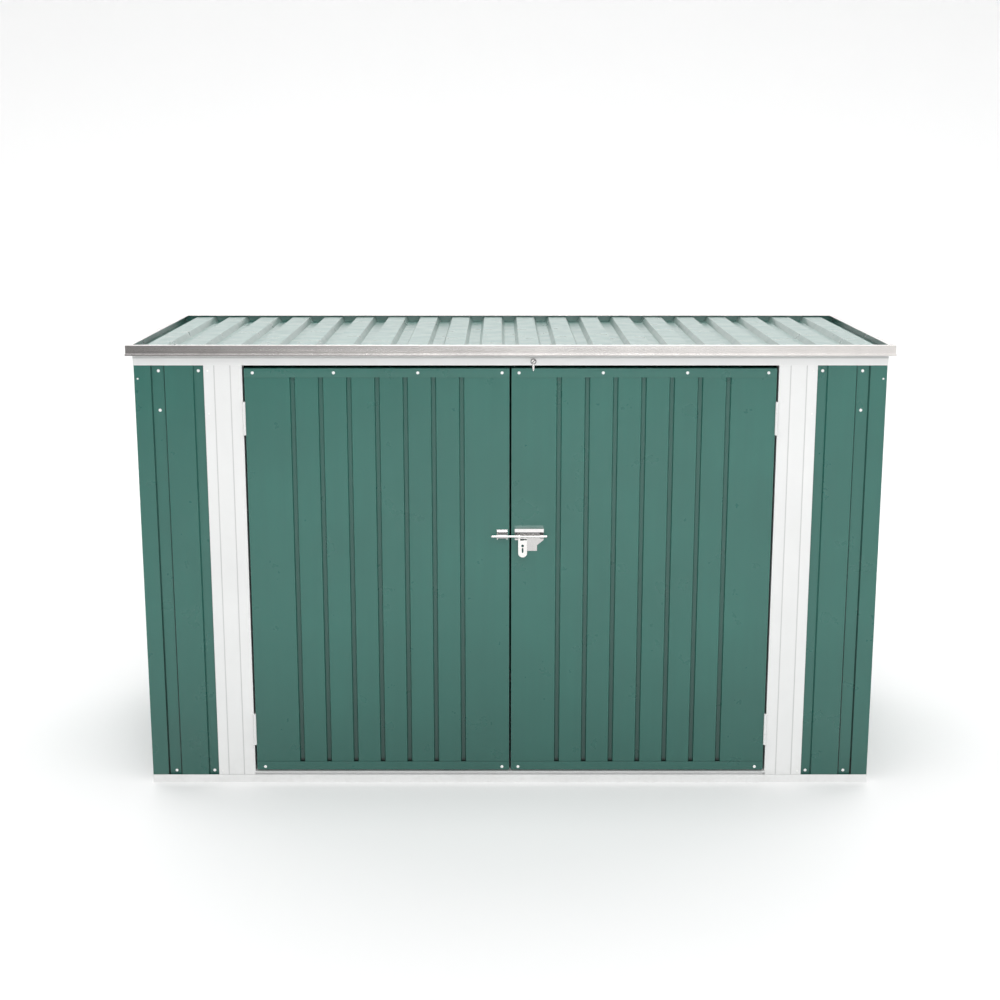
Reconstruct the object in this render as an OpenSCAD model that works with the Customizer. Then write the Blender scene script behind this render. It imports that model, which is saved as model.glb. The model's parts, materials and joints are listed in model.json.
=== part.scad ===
// Low ribbed-steel storage shed with two hinged doors, a slide bolt and a lifting roof lid.
// Millimetres. Origin: middle of the footprint on the ground, +X right, +Y to the back, +Z up.

/* [Overall] */
// Width over the lid trims
roof_w = 1947; // [1500:1:2600]
// Depth over the lid trims
roof_d = 883; // [650:1:1300]
// Height of the lid's front top edge above the ground
front_h = 1187; // [900:1:1600]
// Fall of the lid from front to back, in degrees
roof_fall = 3.3; // [1:0.1:8]
// Overhang of the lid past the side walls
side_over = 15.5; // [12:0.5:40]
// Overhang of the lid past the front wall
front_over = 20; // [14:0.5:40]

/* [Sheet and trim] */
// Thickness of the ribbed sheets
sheet_t = 1.2; // [0.8:0.1:2]
// Thickness of posts, rails, trims and hinge leaves
trim_t = 1.5; // [1:0.1:2.5]
// Height of the base rail
base_h = 22; // [15:1:40]
// Clear width inside the base rail
base_in = 8; // [8:0.5:12]
// Height of the top rails' outer faces, below the lid
rail_h = 32; // [24:1:60]
// Width of the top rails' inward flanges
rail_flange = 24; // [15:1:40]
// Leg of the inner corner angles
corner_leg = 30; // [20:1:36]

/* [Wall ribs] */
// Flat margin at each wall corner
wall_margin = 42; // [40:1:60]
// Width of each recessed band
wall_band = 36; // [20:1:50]
// Width of each raised band
wall_raised = 71; // [40:1:120]
// Depth of the recessed bands
wall_rib_d = 6; // [3:0.5:7]
// Run of each step between bands
wall_step = 3.5; // [2:0.5:6]

/* [Door posts] */
// Face width of each door post
post_w = 98; // [80:1:140]
// Depth of the post's inner face
post_d = 40; // [30:1:60]
// Width of the creases in the post
crease_w = 3; // [2:0.5:5]
// Depth of the creases in the post
crease_d = 0.8; // [0.4:0.1:1]
// Distance of the first crease from the post's outer edge
crease_1 = 27; // [20:1:35]
// Distance between the two creases
crease_gap = 41; // [30:1:50]

/* [Doorway] */
// Width of the front beside the doorway, from the lid's end
front_side = 291.5; // [250:0.5:400]
// Distance of the header's lower edge below the lid's front top edge
head_drop = 54; // [50:1:120]
// Height of the sill's top above the ground
sill_z = 31; // [24:1:60]
// Depth of the sill from front to back
sill_d = 31; // [20:1:60]
// How far the sill's top stands out past the doors' bands
sill_out = 3.5; // [0:0.5:6]

/* [Doors] */
// Gap at the sides and between the doors
door_gap = 5; // [4:0.5:12]
// Gap above the doors
door_gap_top = 8; // [4:0.5:15]
// Gap under the doors
door_gap_low = 5.5; // [5:0.5:15]
// Depth of each door
door_d = 20; // [16:1:40]
// Height of the bands along the door's top and bottom
band_h = 23; // [16:1:50]
// Number of grooves in each door
grooves = 7; // [3:1:9]
// Distance of the outer grooves from the door's sides
groove_in = 114.85; // [80:0.05:160]
// Width of each groove
groove_w = 14; // [8:0.5:20]
// Depth of each groove
groove_d = 5; // [3:0.5:8]
// Run of each groove's sloping side
groove_step = 2.5; // [1.5:0.5:4]

/* [Door hinges] */
// Length of each hinge
hinge_h = 86; // [50:1:120]
// Distance of the leaf's edge from the pin
leaf_w = 17; // [12:0.5:35]
// Depth of the door leaf along the door's edge
edge_leaf_w = 14; // [8:0.5:16]
// Outer radius of the hinge knuckles
knuckle_r = 4; // [3:0.1:6]
// Radius of the hinge pins
pin_r = 2; // [1.5:0.1:3]
// Running clearance around pins
pin_gap = 0.3; // [0.2:0.05:0.5]
// Height of the lower hinges' middle above the ground
hinge_low = 152; // [90:1:300]
// Distance of the upper hinges' middle below the header
hinge_drop = 137; // [80:1:300]

/* [Lid] */
// Height of the lid trims' outer faces
skirt_h = 27; // [24:0.5:60]
// Width of the lid trims' top flanges
flange_w = 16; // [10:0.5:30]
// Height of the folded lower edge
hem_h = 5; // [3:0.5:8]
// How far the folded lower edge stands out
hem_out = 1; // [0.5:0.1:2]
// Distance between ribs
rib_pitch = 95.1; // [60:0.1:97]
// Top width of each rib
rib_top = 51; // [25:0.5:60]
// Depth of the valleys
rib_d = 14; // [8:0.5:17]
// Run of each rib's sloping side
rib_step = 8; // [4:0.5:14]
// Gap between the ribs and the trims' top flanges
rib_gap = 3; // [0:0.5:5]
// Gap between the lid's valleys and the top rails
lid_seat = 1.3; // [0.8:0.1:3]
// Outer radius of the lid hinge knuckles
lid_knuckle_r = 4.5; // [3.5:0.1:6]
// Running space beside the lid hinge knuckles
lid_hinge_gap = 1; // [0.6:0.1:3]
// Length of each lid hinge
lid_hinge_len = 90; // [50:1:150]
// Distance of the outer lid hinges' middle from the lid's ends
lid_hinge_in = 213.5; // [120:0.5:400]

/* [Slide bolt] */
// Height of the bolt above the ground
bolt_z = 686; // [300:1:1000]
// Radius of the bolt
bolt_r = 3.25; // [2.5:0.05:5]
// Distance of the bolt's middle from the door's face
bolt_off = 10; // [9:0.5:16]
// How far the shot bolt reaches past the shed's middle
bolt_reach = 50; // [35:1:70]
// Length of the bolt
bolt_len = 145; // [120:1:180]
// Left end of the bolt's guide, from the shed's middle
guide_x = 11.5; // [6:0.5:30]
// Length of the bolt's guide
guide_len = 75; // [70:1:120]
// Running clearance around the bolt
bolt_gap = 0.4; // [0.3:0.05:0.8]
// Length of the keeper
keeper_len = 28; // [15:1:40]
// Width of the handle plate
tab_w = 23; // [15:0.5:40]
// Height of the handle plate
tab_h = 45; // [25:1:60]
// Radius of the padlock hole in the handle plate
tab_hole_r = 3.5; // [2:0.25:5]
// Width of the slot below the padlock hole
tab_slot_w = 4.4; // [2:0.2:6]
// Length of the slot between its round ends' middles
tab_slot_len = 8.6; // [4:0.2:14]

/* [Turn catch] */
// Distance of the catch from the shed's middle
catch_x = 58; // [30:1:300]
// Height of the catch's pivot above the header's lower edge
catch_up = 11; // [9:0.5:14]
// Radius of the catch's round part
catch_r = 7.5; // [5:0.5:9]
// Length of the catch's tongue from its pivot
catch_len = 25; // [20:0.5:40]
// Width of the catch's tongue
catch_w = 5; // [3:0.5:8]

/* [Show] */
// Which piece to show

/* [Hidden] */
$fn = 48;
eps = 0.01;
big = 6000;
door_half = roof_w / 2 - front_side;
head_z = front_h - head_drop;
face_y = -roof_d / 2 + front_over;
half_w = roof_w / 2 - side_over - trim_t;
rail_x = half_w + trim_t;
lid_z0 = 3;
lid_z1 = lid_z0 + skirt_h;
rear_in = lid_knuckle_r + lid_hinge_gap;
rear_out = rear_in + trim_t;
hinge_y = roof_d / 2 - rear_out * cos(roof_fall) - lid_z1 * sin(roof_fall);
lid_len = (hinge_y + lid_z0 * sin(roof_fall) + roof_d / 2) / cos(roof_fall) - hem_out;
hinge_z = front_h - lid_len * sin(roof_fall) - lid_z1 * cos(roof_fall);
rail_back_y = hinge_y - rear_in;
back_y = rail_back_y - trim_t;
skirt_x = roof_w / 2 - hem_out;
flange_z = lid_z1 - trim_t;
rib_z = flange_z - rib_gap;
valley_z = rib_z - rib_d - sheet_t;
body_z = valley_z - lid_seat;
wall_z = body_z - trim_t;
ribs = floor(roof_w / rib_pitch);
lid_hinge_x = roof_w / 2 - lid_hinge_in;
post_x = door_half;
post_out = post_x + post_w;
door_x0 = door_gap / 2;
door_x1 = door_half - door_gap;
door_w = door_x1 - door_x0;
door_z0 = sill_z + door_gap_low;
door_z1 = head_z - door_gap_top;
pin_x = door_half - door_gap / 2;
pin_y = face_y - knuckle_r;
hinge_mid = [hinge_low, head_z - hinge_drop];
bolt_y = face_y - bolt_off;
guide_x1 = guide_x + guide_len;
ear_w = 8;
ear_r = bolt_r + bolt_gap + 2.4;
ring_w = 5;
ring_x = guide_x + ear_w + 1;
keeper_x = -door_x0 - 4.5 - keeper_len;
catch_z = head_z + catch_up;
catch_y = face_y - trim_t;

green = [0.28, 0.45, 0.41];
white = [0.92, 0.92, 0.91];
bright = [0.78, 0.78, 0.76];

// A box from any two opposite corners
module span(a, b) {
    translate([min(a[0], b[0]), min(a[1], b[1]), min(a[2], b[2])])
        cube([abs(b[0] - a[0]), abs(b[1] - a[1]), abs(b[2] - a[2])]);
}

// Puts its child in the lid's own frame, with the lid's hinge line as the X axis
module lid_frame() {
    translate([0, hinge_y, hinge_z])
        rotate([-roof_fall, 0, 0])
            children();
}

// Cuts its child off at a height in the lid's frame
module below_lid(z) {
    difference() {
        children();
        lid_frame()
            span([-big, -big, z], [big, big, big]);
    }
}

module mirror_x() {
    mirror([1, 0, 0])
        children();
}

// Sheet outline from a line of [x, y, bend] points, where bend is 1 going down, -1 going up, 0 at ends
function half_tan(run, drop) = tan(atan2(drop, run) / 2);
function under(line, t, k) = [
    for (i = [len(line) - 1:-1:0])
        [line[i][0] - line[i][2] * t * k, line[i][1] - t]
];
function over(line) = [for (p = line) [p[0], p[1]]];

module sheet_outline(line, t, run, drop) {
    polygon(concat(over(line), under(line, t, half_tan(run, drop))));
}

// ---- wall sheets: line along x from 0 to w, raised face at y = 0, bands pressed to -wall_rib_d
wall_pitch = wall_band + wall_raised;

function wall_bands(w) = max(1, floor((w - 2 * wall_margin + wall_raised) / wall_pitch));
function wall_first(w) = (w - wall_bands(w) * wall_pitch + wall_raised) / 2;

function band_points(x0, w, run, d) = [
    [x0, 0, 1],
    [x0 + run, -d, 1],
    [x0 + w - run, -d, -1],
    [x0 + w, 0, -1]
];

function wall_line(w) = concat(
    [[0, 0, 0]],
    [
        for (i = [0:wall_bands(w) - 1])
            for (p = band_points(wall_first(w) + i * wall_pitch, wall_band, wall_step, wall_rib_d))
                p
    ],
    [[w, 0, 0]]
);

module wall_sheet(w, h) {
    linear_extrude(h)
        sheet_outline(wall_line(w), sheet_t, wall_step, wall_rib_d);
}

// ---- base

module rail_lip(x0, x1, y, z0, z1) {
    span([x0, y, z0], [x1, y + trim_t, z1]);
}

module base_rail_front() {
    color(white) {
        rail_lip(-rail_x, rail_x, face_y - trim_t, 0, base_h);
        span([-rail_x, face_y - eps, 0], [rail_x, face_y + base_in + trim_t, trim_t]);
        rail_lip(-half_w + base_in, half_w - base_in, face_y + base_in, 0, base_h);
    }
}

module base_rail_back() {
    color(white) {
        rail_lip(-rail_x, rail_x, back_y, 0, base_h);
        span([-rail_x, back_y - base_in - trim_t, 0], [rail_x, back_y + eps, trim_t]);
        rail_lip(-half_w + base_in, half_w - base_in, back_y - base_in - trim_t, 0, base_h);
    }
}

module base_rail_side() {
    y0 = face_y + base_in + trim_t;
    y1 = back_y - base_in - trim_t;
    span([half_w, face_y, trim_t], [rail_x, back_y, base_h]);
    span([half_w - base_in - trim_t, y0, 0], [rail_x, y1, trim_t]);
    span([half_w - base_in - trim_t, y0, 0], [half_w - base_in, y1, base_h]);
}

module base_rail_right() {
    color(white)
        base_rail_side();
}

module base_rail_left() {
    color(white)
        mirror_x()
            base_rail_side();
}

module door_sill() {
    y0 = face_y - trim_t - sill_out;
    y1 = y0 + sill_d;
    color(white) {
        span([-post_x, y0, sill_z - trim_t], [post_x, y1, sill_z]);
        span([-post_x, face_y + 3, trim_t], [post_x, face_y + 3 + trim_t, sill_z - trim_t + eps]);
        span([-post_x, y1 - trim_t, 0], [post_x, y1, sill_z - trim_t + eps]);
    }
}

// ---- walls

// The front panel runs from the corner to its first full band under the post
function panel_end() = post_out - 6;
panel_band1 = wall_margin;
panel_band2 = wall_margin + wall_pitch;
panel_w = half_w - panel_end();

panel_line = [
    [0, 0, 0],
    [panel_band1, 0, 1],
    [panel_band1 + wall_step, -wall_rib_d, 1],
    [panel_band1 + wall_band - wall_step, -wall_rib_d, -1],
    [panel_band1 + wall_band, 0, -1],
    [panel_band2, 0, 1],
    [panel_band2 + wall_step, -wall_rib_d, 1],
    [panel_w, -wall_rib_d, 0]
];

module front_panel() {
    below_lid(wall_z)
        translate([-half_w, face_y, trim_t])
            mirror([0, 1, 0])
                linear_extrude(front_h)
                    sheet_outline(panel_line, sheet_t, wall_step, wall_rib_d);
}

module front_panel_left() {
    color(green)
        front_panel();
}

module front_panel_right() {
    color(green)
        mirror_x()
            front_panel();
}

side_w = back_y - face_y - 2 * sheet_t;

module side_wall() {
    below_lid(wall_z)
        translate([half_w, face_y + sheet_t, trim_t])
            rotate([0, 0, 90])
                mirror([0, 1, 0])
                    wall_sheet(side_w, front_h);
}

module right_wall() {
    color(green)
        side_wall();
}

module left_wall() {
    color(green)
        mirror_x()
            side_wall();
}

module back_wall() {
    color(green)
        below_lid(wall_z)
            translate([-half_w, back_y, trim_t])
                wall_sheet(2 * half_w, front_h);
}

module corner_angle(x, y, sx, sy) {
    span([x, y, trim_t], [x + sx * corner_leg, y + sy * trim_t, front_h]);
    span([x, y, trim_t], [x + sx * trim_t, y + sy * corner_leg, front_h]);
}

module corner_angles() {
    x = half_w - sheet_t;
    y0 = face_y + sheet_t;
    y1 = back_y - sheet_t;
    color(bright)
        below_lid(wall_z) {
            corner_angle(-x, y0, 1, 1);
            corner_angle(x, y0, -1, 1);
            corner_angle(-x, y1, 1, -1);
            corner_angle(x, y1, -1, -1);
        }
}

// ---- posts and top rails

module door_post() {
    w = post_out - post_x;
    below_lid(wall_z)
        translate([post_x, face_y, trim_t])
            difference() {
                union() {
                    cube([w, trim_t, front_h]);
                    cube([trim_t, post_d, front_h]);
                    translate([w - trim_t, 0, 0])
                        cube([trim_t, wall_rib_d, front_h]);
                    translate([0, post_d - trim_t, 0])
                        cube([25, trim_t, front_h]);
                }
                // The deep part of the post stands behind the base rail's inner lip
                translate([-1, base_in - 0.5, -1])
                    cube([w + 2, post_d, base_h - trim_t + 1.5]);
                for (k = [0, 1])
                    translate([w - crease_1 - k * crease_gap, 0, -1])
                        linear_extrude(front_h + 2)
                            polygon([
                                [-crease_w / 2, -eps],
                                [crease_w / 2, -eps],
                                [0, crease_d]
                            ]);
            }
}

module door_post_right() {
    color(white)
        door_post();
}

module door_post_left() {
    color(white)
        mirror_x()
            door_post();
}

module header() {
    color(white)
        below_lid(body_z)
            difference() {
                union() {
                    span([-rail_x, face_y - trim_t, head_z], [rail_x, face_y, front_h]);
                    span([-post_x, face_y - eps, head_z], [post_x, face_y + rail_flange, head_z + trim_t]);
                    span([-half_w, face_y - eps, head_z + 5], [half_w, face_y + rail_flange, front_h]);
                }
                below_lid(wall_z)
                    span([-big, face_y, head_z + trim_t], [big, face_y + rail_flange + 1, front_h]);
            }
}

module top_rail_back() {
    color(white)
        below_lid(body_z)
            difference() {
                union() {
                    span([-rail_x, back_y, hinge_z + body_z - rail_h], [rail_x, rail_back_y, front_h]);
                    span([-half_w, back_y - rail_flange, hinge_z], [half_w, back_y + eps, front_h]);
                }
                below_lid(wall_z)
                    span([-big, back_y - rail_flange - 1, 0], [big, back_y, front_h]);
            }
}

module top_rail_side() {
    intersection() {
        span([0, face_y, 0], [big, back_y, big]);
        lid_frame()
            span([half_w, -big, body_z - rail_h], [rail_x, big, body_z]);
    }
    intersection() {
        span([0, face_y + rail_flange, 0], [big, back_y - rail_flange, big]);
        lid_frame()
            span([half_w - rail_flange, -big, wall_z], [rail_x, big, body_z]);
    }
}

module top_rail_right() {
    color(white)
        top_rail_side();
}

module top_rail_left() {
    color(white)
        mirror_x()
            top_rail_side();
}

// ---- hinges: pin along z, leaf towards +x, leaf's back on the plane y = knuckle

// One run of knuckle with its bore
module knuckle(r, z0, z1, bore) {
    translate([0, 0, z0])
        difference() {
            cylinder(r = r, h = z1 - z0);
            translate([0, 0, -1])
                cylinder(r = bore, h = z1 - z0 + 2);
        }
}

// Leaf with the outer knuckles and the pin; back is the y of the face that it lies on
module pin_leaf(h, w, r, pin, back) {
    cut = h / 3;
    difference() {
        translate([0, back - trim_t, -h / 2])
            cube([w, trim_t, h]);
        translate([0, 0, -cut / 2 - 0.5])
            cylinder(r = r + 0.6, h = cut + 1);
    }
    for (s = [-1, 1])
        translate([0, 0, s * h / 3 - h / 6])
            cylinder(r = r, h = h / 3);
    translate([0, 0, -h / 2])
        cylinder(r = pin, h = h);
}

// Leaf with the middle knuckle
module eye_leaf(h, w, r, pin, back) {
    cut = h / 3 - 1;
    difference() {
        union() {
            difference() {
                translate([0, back - trim_t, -h / 2])
                    cube([w, trim_t, h]);
                for (s = [-1, 1])
                    translate([0, 0, s * h / 3 - h / 6 - 0.5])
                        cylinder(r = r + 0.6, h = h / 3 + 1);
            }
            translate([0, 0, -cut / 2])
                cylinder(r = r, h = cut);
        }
        translate([0, 0, -h])
            cylinder(r = pin + pin_gap, h = 2 * h);
    }
}

module post_hinge_leaves() {
    for (z = hinge_mid)
        translate([pin_x, pin_y, z])
            pin_leaf(hinge_h, leaf_w, knuckle_r, pin_r, knuckle_r);
}

module post_hinge_leaves_right() {
    color(white)
        post_hinge_leaves();
}

module post_hinge_leaves_left() {
    color(white)
        mirror_x()
            post_hinge_leaves();
}

// Door leaf: it lies on the door's edge, behind its own knuckle
module edge_leaf() {
    cut = hinge_h / 3 - 1;
    edge = pin_x - door_x1;
    difference() {
        union() {
            translate([-edge, knuckle_r + 0.4, -hinge_h / 2])
                cube([trim_t, edge_leaf_w, hinge_h]);
            translate([-edge, 0, -cut / 2])
                cube([trim_t, knuckle_r + 0.4 + eps, cut]);
            translate([0, 0, -cut / 2])
                cylinder(r = knuckle_r, h = cut);
        }
        translate([0, 0, -hinge_h])
            cylinder(r = pin_r + pin_gap, h = 2 * hinge_h);
    }
}

module door_hinge_leaves() {
    for (z = hinge_mid)
        translate([pin_x, pin_y, z])
            edge_leaf();
}

module door_right_hinge_leaves() {
    color(white)
        door_hinge_leaves();
}

module door_left_hinge_leaves() {
    color(white)
        mirror_x()
            door_hinge_leaves();
}

// Lid hinges: pin along X, in the lid's frame
module lid_hinge_places() {
    for (x = [-lid_hinge_x, 0, lid_hinge_x])
        lid_frame()
            translate([x, 0, 0])
                children();
}

module lid_hinge_fixed_leaves() {
    color(bright)
        lid_hinge_places()
            rotate([0, 90, 0])
                pin_leaf_flat();
}

// The fixed leaf hangs down the back rail, so it is turned out of the lid's tilt
module pin_leaf_flat() {
    rotate([0, 0, roof_fall])
        mirror([0, 1, 0])
            pin_leaf(lid_hinge_len, 26, lid_knuckle_r, pin_r, rear_in);
}

module lid_hinge_leaves() {
    color(bright)
        lid_hinge_places()
            rotate([0, 90, 0])
                mirror_x()
                    eye_leaf(lid_hinge_len, 22, lid_knuckle_r, pin_r, rear_in);
}

// ---- doors, drawn on the right and mirrored for the left

groove_pitch = (door_w - 2 * groove_in - groove_w) / max(1, grooves - 1);

door_line = concat(
    [[0, 0, 0]],
    [
        for (i = [0:grooves - 1])
            for (p = band_points(groove_in + i * groove_pitch, groove_w, groove_step, groove_d))
                p
    ],
    [[door_w, 0, 0]]
);

module door_panel() {
    z0 = door_z0 + trim_t;
    h = door_z1 - door_z0 - 2 * trim_t;
    d = door_d - trim_t;
    translate([door_x0, face_y, z0]) {
        mirror([0, 1, 0])
            linear_extrude(h)
                sheet_outline(door_line, sheet_t, groove_step, groove_d);
        for (x = [0, door_w - sheet_t])
            translate([x, 0, 0])
                cube([sheet_t, d, h]);
        for (x = [0, door_w - 18])
            translate([x, d - sheet_t, 0])
                cube([18, sheet_t, h]);
    }
}

// Channel that caps the panel's end, opening towards +z
module door_band() {
    translate([door_x0, face_y - trim_t, 0]) {
        cube([door_w, door_d + trim_t, trim_t]);
        cube([door_w, trim_t, band_h]);
        translate([0, door_d, 0])
            cube([door_w, trim_t, band_h]);
    }
}

module door_bottom_band() {
    translate([0, 0, door_z0])
        door_band();
}

module door_top_band() {
    translate([0, 0, door_z1])
        mirror([0, 0, 1])
            door_band();
}

module door_right_panel() {
    color(green)
        door_panel();
}

module door_left_panel() {
    color(green)
        mirror_x()
            door_panel();
}

module door_right_top_band() {
    color(green)
        door_top_band();
}

module door_left_top_band() {
    color(green)
        mirror_x()
            door_top_band();
}

module door_right_bottom_band() {
    color(green)
        door_bottom_band();
}

module door_left_bottom_band() {
    color(green)
        mirror_x()
            door_bottom_band();
}

// ---- slide bolt

// A loop round the bolt, standing on the door's face
module bolt_loop(x, w) {
    r = ear_r;
    difference() {
        union() {
            translate([x, bolt_y, bolt_z])
                rotate([0, 90, 0])
                    cylinder(r = r, h = w);
            span([x, bolt_y, bolt_z - r], [x + w, face_y - trim_t + eps, bolt_z + r]);
        }
        translate([x - 1, bolt_y, bolt_z])
            rotate([0, 90, 0])
                cylinder(r = bolt_r + bolt_gap, h = w + 2);
    }
}

module bolt_guide() {
    top = bolt_z + 22;
    color(bright) {
        span([guide_x, face_y - trim_t, bolt_z - 12], [guide_x1, face_y, top]);
        span([guide_x + 32, face_y - trim_t, bolt_z - 41], [guide_x + 58, face_y, bolt_z - 12 + eps]);
        span([guide_x, bolt_y - ear_r, top - 2], [guide_x1, face_y - trim_t + eps, top]);
        span([guide_x, bolt_y - ear_r - 1, top - 9], [guide_x1, bolt_y - ear_r + 0.5, top]);
        // The plate's lower right corner runs down to its middle part at a slant
        translate([0, face_y, 0])
            rotate([90, 0, 0])
                linear_extrude(trim_t)
                    polygon([
                        [guide_x + 57, bolt_z - 12 + eps],
                        [guide_x + 57, bolt_z - 26],
                        [guide_x1, bolt_z - 12 + eps]
                    ]);
        bolt_loop(guide_x, ear_w);
        bolt_loop(guide_x1 - ear_w - 1.5, ear_w + 1.5);
    }
}

module bolt_keeper() {
    color(bright) {
        span([keeper_x, face_y - trim_t, bolt_z - 7], [keeper_x + keeper_len, face_y, bolt_z + 16]);
        for (x = [keeper_x, keeper_x + keeper_len - 3])
            span([x, face_y - trim_t, bolt_z - 11], [x + 3, face_y, bolt_z - 7 + eps]);
        bolt_loop(keeper_x + 2, keeper_len - 4);
    }
}

module bolt_rod() {
    color(bright)
        translate([-bolt_reach, bolt_y, bolt_z])
            rotate([0, 90, 0]) {
                cylinder(r1 = bolt_r - 1.2, r2 = bolt_r, h = 2.5);
                translate([0, 0, 2.5])
                    cylinder(r = bolt_r, h = bolt_len - 2.5);
            }
}

module bolt_handle() {
    r0 = bolt_r + pin_gap;
    r1 = r0 + 2.2;
    tab_top = bolt_z - ear_r - 5;
    color(bright)
        difference() {
            union() {
                translate([ring_x, bolt_y, bolt_z])
                    rotate([0, 90, 0])
                        cylinder(r = r1, h = ring_w);
                span([ring_x, bolt_y - 1.2, tab_top - 2], [ring_x + ring_w, bolt_y + 1.2, bolt_z]);
                translate([ring_x, bolt_y + 1.2, tab_top])
                    rotate([90, 0, 0])
                        linear_extrude(2.4)
                            tab_outline();
            }
            translate([ring_x - 1, bolt_y, bolt_z])
                rotate([0, 90, 0])
                    cylinder(r = r0, h = ring_w + 2);
            translate([ring_x + tab_w / 2, bolt_y + 5, tab_top - 14])
                rotate([90, 0, 0])
                    cylinder(r = tab_hole_r, h = 10);
            translate([ring_x + tab_w / 2, bolt_y + 5, tab_top - 22])
                rotate([90, 0, 0])
                    linear_extrude(10)
                        slot_outline();
        }
}

// Slot with round ends, down from the middle of its upper end
module slot_outline() {
    translate([-tab_slot_w / 2, -tab_slot_len])
        square([tab_slot_w, tab_slot_len]);
    for (y = [0, -tab_slot_len])
        translate([0, y])
            circle(d = tab_slot_w);
}

// Handle plate, with a round lower end, below y = 0
module tab_outline() {
    r = tab_w / 2;
    translate([0, -tab_h + r])
        square([tab_w, tab_h - r]);
    translate([r, -tab_h + r])
        circle(r = r);
}

// ---- turn catch over the right door

module catch_stud() {
    color(bright)
        translate([catch_x, catch_y, catch_z])
            rotate([90, 0, 0])
                cylinder(r = 2, h = 3.2);
}

module turn_catch() {
    y0 = catch_y - 0.5;
    color(bright)
        difference() {
            union() {
                translate([catch_x, y0, catch_z])
                    rotate([90, 0, 0])
                        cylinder(r = catch_r, h = 4.5);
                translate([catch_x, y0 - 1.2, catch_z])
                    rotate([90, 0, 0])
                        linear_extrude(1.8)
                            polygon([
                                [-catch_w / 2, 0],
                                [-catch_w / 2, -catch_len * 0.7],
                                [-catch_w / 5, -catch_len],
                                [catch_w / 5, -catch_len],
                                [catch_w / 2, -catch_len * 0.7],
                                [catch_w / 2, 0]
                            ]);
            }
            translate([catch_x, y0 + 1, catch_z])
                rotate([90, 0, 0])
                    cylinder(r = 2 + pin_gap, h = 1 + 3);
            translate([catch_x, y0 - 4.5, catch_z])
                rotate([0, 45, 0])
                    cube([2, 2.4, catch_r * 3], center = true);
        }
}

// ---- lid, in the frame of its hinge line

rib_x0 = -((ribs - 1) * rib_pitch + rib_top) / 2;
sheet_x = skirt_x - trim_t;

lid_line = concat(
    [[-sheet_x + sheet_t, -rib_d, 0]],
    [
        for (i = [0:ribs - 1])
            for (p = rib_points(rib_x0 + i * rib_pitch))
                p
    ],
    [[sheet_x - sheet_t, -rib_d, 0]]
);

function rib_points(x) = [
    [x - rib_step, -rib_d, -1],
    [x, 0, -1],
    [x + rib_top, 0, 1],
    [x + rib_top + rib_step, -rib_d, 1]
];

module lid_sheet() {
    y0 = -lid_len + trim_t;
    y1 = rear_in - trim_t;
    len_y = y1 - y0;
    color(green)
        lid_frame()
            translate([0, y1, rib_z])
                rotate([90, 0, 0]) {
                    linear_extrude(len_y)
                        sheet_outline(lid_line, sheet_t, rib_step, rib_d);
                    for (s = [-1, 1])
                        translate([s > 0 ? sheet_x - sheet_t : -sheet_x, -rib_d - sheet_t, 0])
                            cube([sheet_t, rib_d + sheet_t + rib_gap, len_y]);
                    // The sheet's back end is turned up
                    translate([-sheet_x, -rib_d - sheet_t, 0])
                        cube([2 * sheet_x, rib_d + sheet_t + rib_gap, sheet_t]);
                }
}

module lid_trim_front() {
    y = -lid_len;
    color(bright)
        lid_frame() {
            span([-skirt_x, y, lid_z0], [skirt_x, y + trim_t, lid_z1]);
            span([-skirt_x, y, flange_z], [skirt_x, y + flange_w, lid_z1]);
            span([-skirt_x - hem_out, y - hem_out, lid_z0], [skirt_x + hem_out, y + trim_t, lid_z0 + hem_h]);
        }
}

module lid_trim_back() {
    y = rear_out;
    color(bright)
        lid_frame() {
            span([-skirt_x, y - trim_t, lid_z0], [skirt_x, y, lid_z1]);
            span([-skirt_x, y - flange_w, flange_z], [skirt_x, y, lid_z1]);
        }
}

module lid_trim_side() {
    y0 = -lid_len + trim_t;
    lid_frame() {
        span([skirt_x - trim_t, y0, lid_z0], [skirt_x, rear_in, flange_z]);
        span([skirt_x - flange_w, -lid_len + flange_w, flange_z], [skirt_x, rear_out - flange_w, lid_z1]);
        span([skirt_x - trim_t, y0, lid_z0], [skirt_x + hem_out, rear_in, lid_z0 + hem_h]);
    }
}

module lid_trim_right() {
    color(bright)
        lid_trim_side();
}

module lid_trim_left() {
    color(bright)
        mirror_x()
            lid_trim_side();
}

base_rail_front();
base_rail_back();
base_rail_left();
base_rail_right();
door_sill();
front_panel_left();
front_panel_right();
left_wall();
right_wall();
back_wall();
corner_angles();
door_post_left();
door_post_right();
header();
top_rail_back();
top_rail_left();
top_rail_right();
post_hinge_leaves_left();
post_hinge_leaves_right();
lid_hinge_fixed_leaves();
catch_stud();
door_left_panel();
door_left_top_band();
door_left_bottom_band();
door_left_hinge_leaves();
bolt_keeper();
door_right_panel();
door_right_top_band();
door_right_bottom_band();
door_right_hinge_leaves();
bolt_guide();
bolt_rod();
bolt_handle();
turn_catch();
lid_sheet();
lid_trim_front();
lid_trim_back();
lid_trim_left();
lid_trim_right();
lid_hinge_leaves();
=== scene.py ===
import json
import math

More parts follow.
